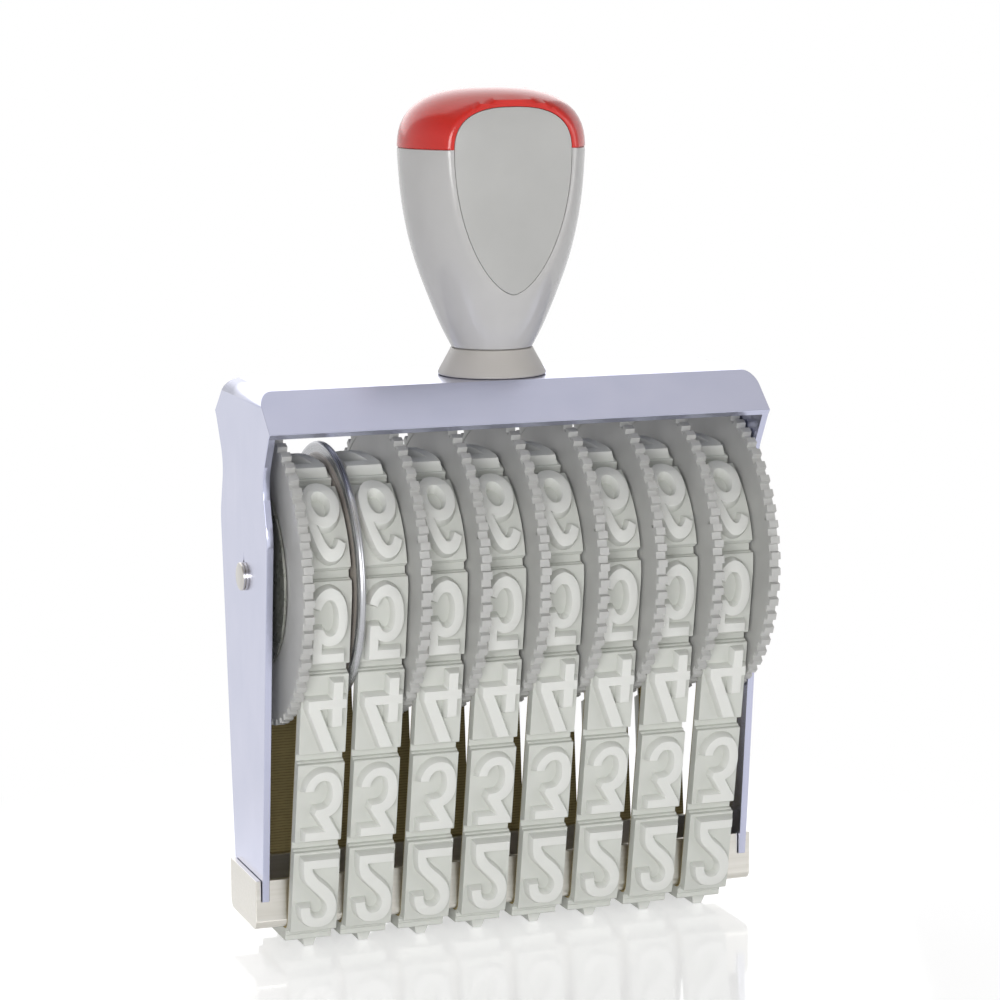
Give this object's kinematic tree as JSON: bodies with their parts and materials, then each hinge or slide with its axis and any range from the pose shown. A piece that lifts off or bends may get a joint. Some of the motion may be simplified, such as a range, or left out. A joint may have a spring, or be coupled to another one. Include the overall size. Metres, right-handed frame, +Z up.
{
  "type": "numbering machine",
  "caption": "hand stamp with endless rubber number bands, each set by its own serrated thumb wheel in a folded metal frame, pressed down by a turned handle",
  "frame": {"origin": "on the paper, under the middle of the stamp, where the raised figures touch it", "axes": "X along the axle of the thumb wheels, front at -Y, Z up along the handle"},
  "size_m": [0.1126, 0.063, 0.1794],
  "materials": {
    "plated_sheet": "polished nickel-plated steel sheet",
    "nickel_sheet": "satin nickel-plated steel sheet",
    "rod_steel": "bright steel",
    "spring_steel": "blued spring steel",
    "separator_disc": "cream plastic with a thicker rim",
    "wheel_plastic": "satin pale grey plastic",
    "band_rubber": "matte pale grey-green rubber on brown canvas",
    "grey_handle": "glossy light grey plastic",
    "red_handle": "glossy red plastic",
    "grey_label": "bare satin light grey plate",
    "grey_collar": "satin warm grey plastic"
  },
  "bodies": {
    "stamp": {"frame": "plated_sheet", "foot_channel": "nickel_sheet", "axle": "rod_steel", "separator": "separator_disc", "friction_spring": "spring_steel", "handle_body": "grey_handle", "handle_cap": "red_handle", "label_plate": "grey_label", "handle_collar": "grey_collar", "handle_screw": "rod_steel", "screw_washer": "rod_steel", "band_1": "band_rubber", "band_2": "band_rubber", "band_3": "band_rubber", "band_4": "band_rubber", "band_5": "band_rubber", "band_6": "band_rubber", "band_7": "band_rubber", "band_8": "band_rubber"},
    "wheel_body_1": {"wheel_1": "wheel_plastic"},
    "wheel_body_2": {"wheel_2": "wheel_plastic"},
    "wheel_body_3": {"wheel_3": "wheel_plastic"},
    "wheel_body_4": {"wheel_4": "wheel_plastic"},
    "wheel_body_5": {"wheel_5": "wheel_plastic"},
    "wheel_body_6": {"wheel_6": "wheel_plastic"},
    "wheel_body_7": {"wheel_7": "wheel_plastic"},
    "wheel_body_8": {"wheel_8": "wheel_plastic"}
  },
  "joints": [
    {"name": "spin_1", "type": "hinge", "parent": "stamp", "child": "wheel_body_1", "pos_m": [0, 0, 0.0787], "axis": [1, 0, 0], "continuous": true},
    {"name": "spin_2", "type": "hinge", "parent": "stamp", "child": "wheel_body_2", "pos_m": [0, 0, 0.0787], "axis": [1, 0, 0], "continuous": true},
    {"name": "spin_3", "type": "hinge", "parent": "stamp", "child": "wheel_body_3", "pos_m": [0, 0, 0.0787], "axis": [1, 0, 0], "continuous": true},
    {"name": "spin_4", "type": "hinge", "parent": "stamp", "child": "wheel_body_4", "pos_m": [0, 0, 0.0787], "axis": [1, 0, 0], "continuous": true},
    {"name": "spin_5", "type": "hinge", "parent": "stamp", "child": "wheel_body_5", "pos_m": [0, 0, 0.0787], "axis": [1, 0, 0], "continuous": true},
    {"name": "spin_6", "type": "hinge", "parent": "stamp", "child": "wheel_body_6", "pos_m": [0, 0, 0.0787], "axis": [1, 0, 0], "continuous": true},
    {"name": "spin_7", "type": "hinge", "parent": "stamp", "child": "wheel_body_7", "pos_m": [0, 0, 0.0787], "axis": [1, 0, 0], "continuous": true},
    {"name": "spin_8", "type": "hinge", "parent": "stamp", "child": "wheel_body_8", "pos_m": [0, 0, 0.0787], "axis": [1, 0, 0], "continuous": true}
  ]
}
